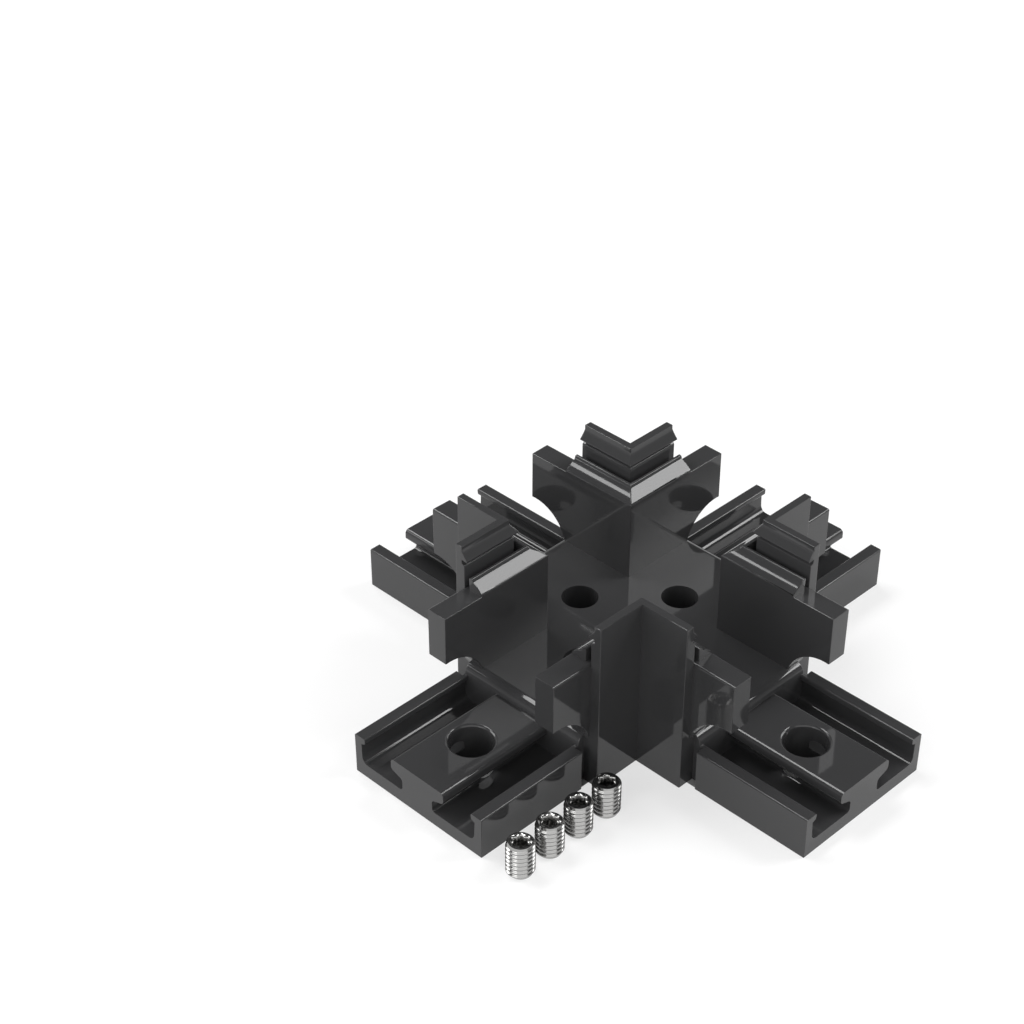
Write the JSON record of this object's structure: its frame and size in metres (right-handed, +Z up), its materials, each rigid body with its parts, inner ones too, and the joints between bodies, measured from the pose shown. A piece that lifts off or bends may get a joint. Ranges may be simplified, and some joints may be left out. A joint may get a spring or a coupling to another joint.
{
  "type": "cross corner connector",
  "caption": "Cross-shaped moulded connector: flat undercut tongues, snap-hook corner posts and a trough where the arms cross, shown with its loose set screws.",
  "frame": {"origin": "centre of the cross, on the surface it rests on", "axes": "+X and +Y along two of the four arms, +Z up out of the open trough"},
  "size_m": [0.124, 0.124, 0.04],
  "materials": {
    "plastic": "polished",
    "screw_steel": "bright plated"
  },
  "bodies": {
    "root": {"connector_body": "plastic", "set_screws": "screw_steel"}
  },
  "joints": []
}
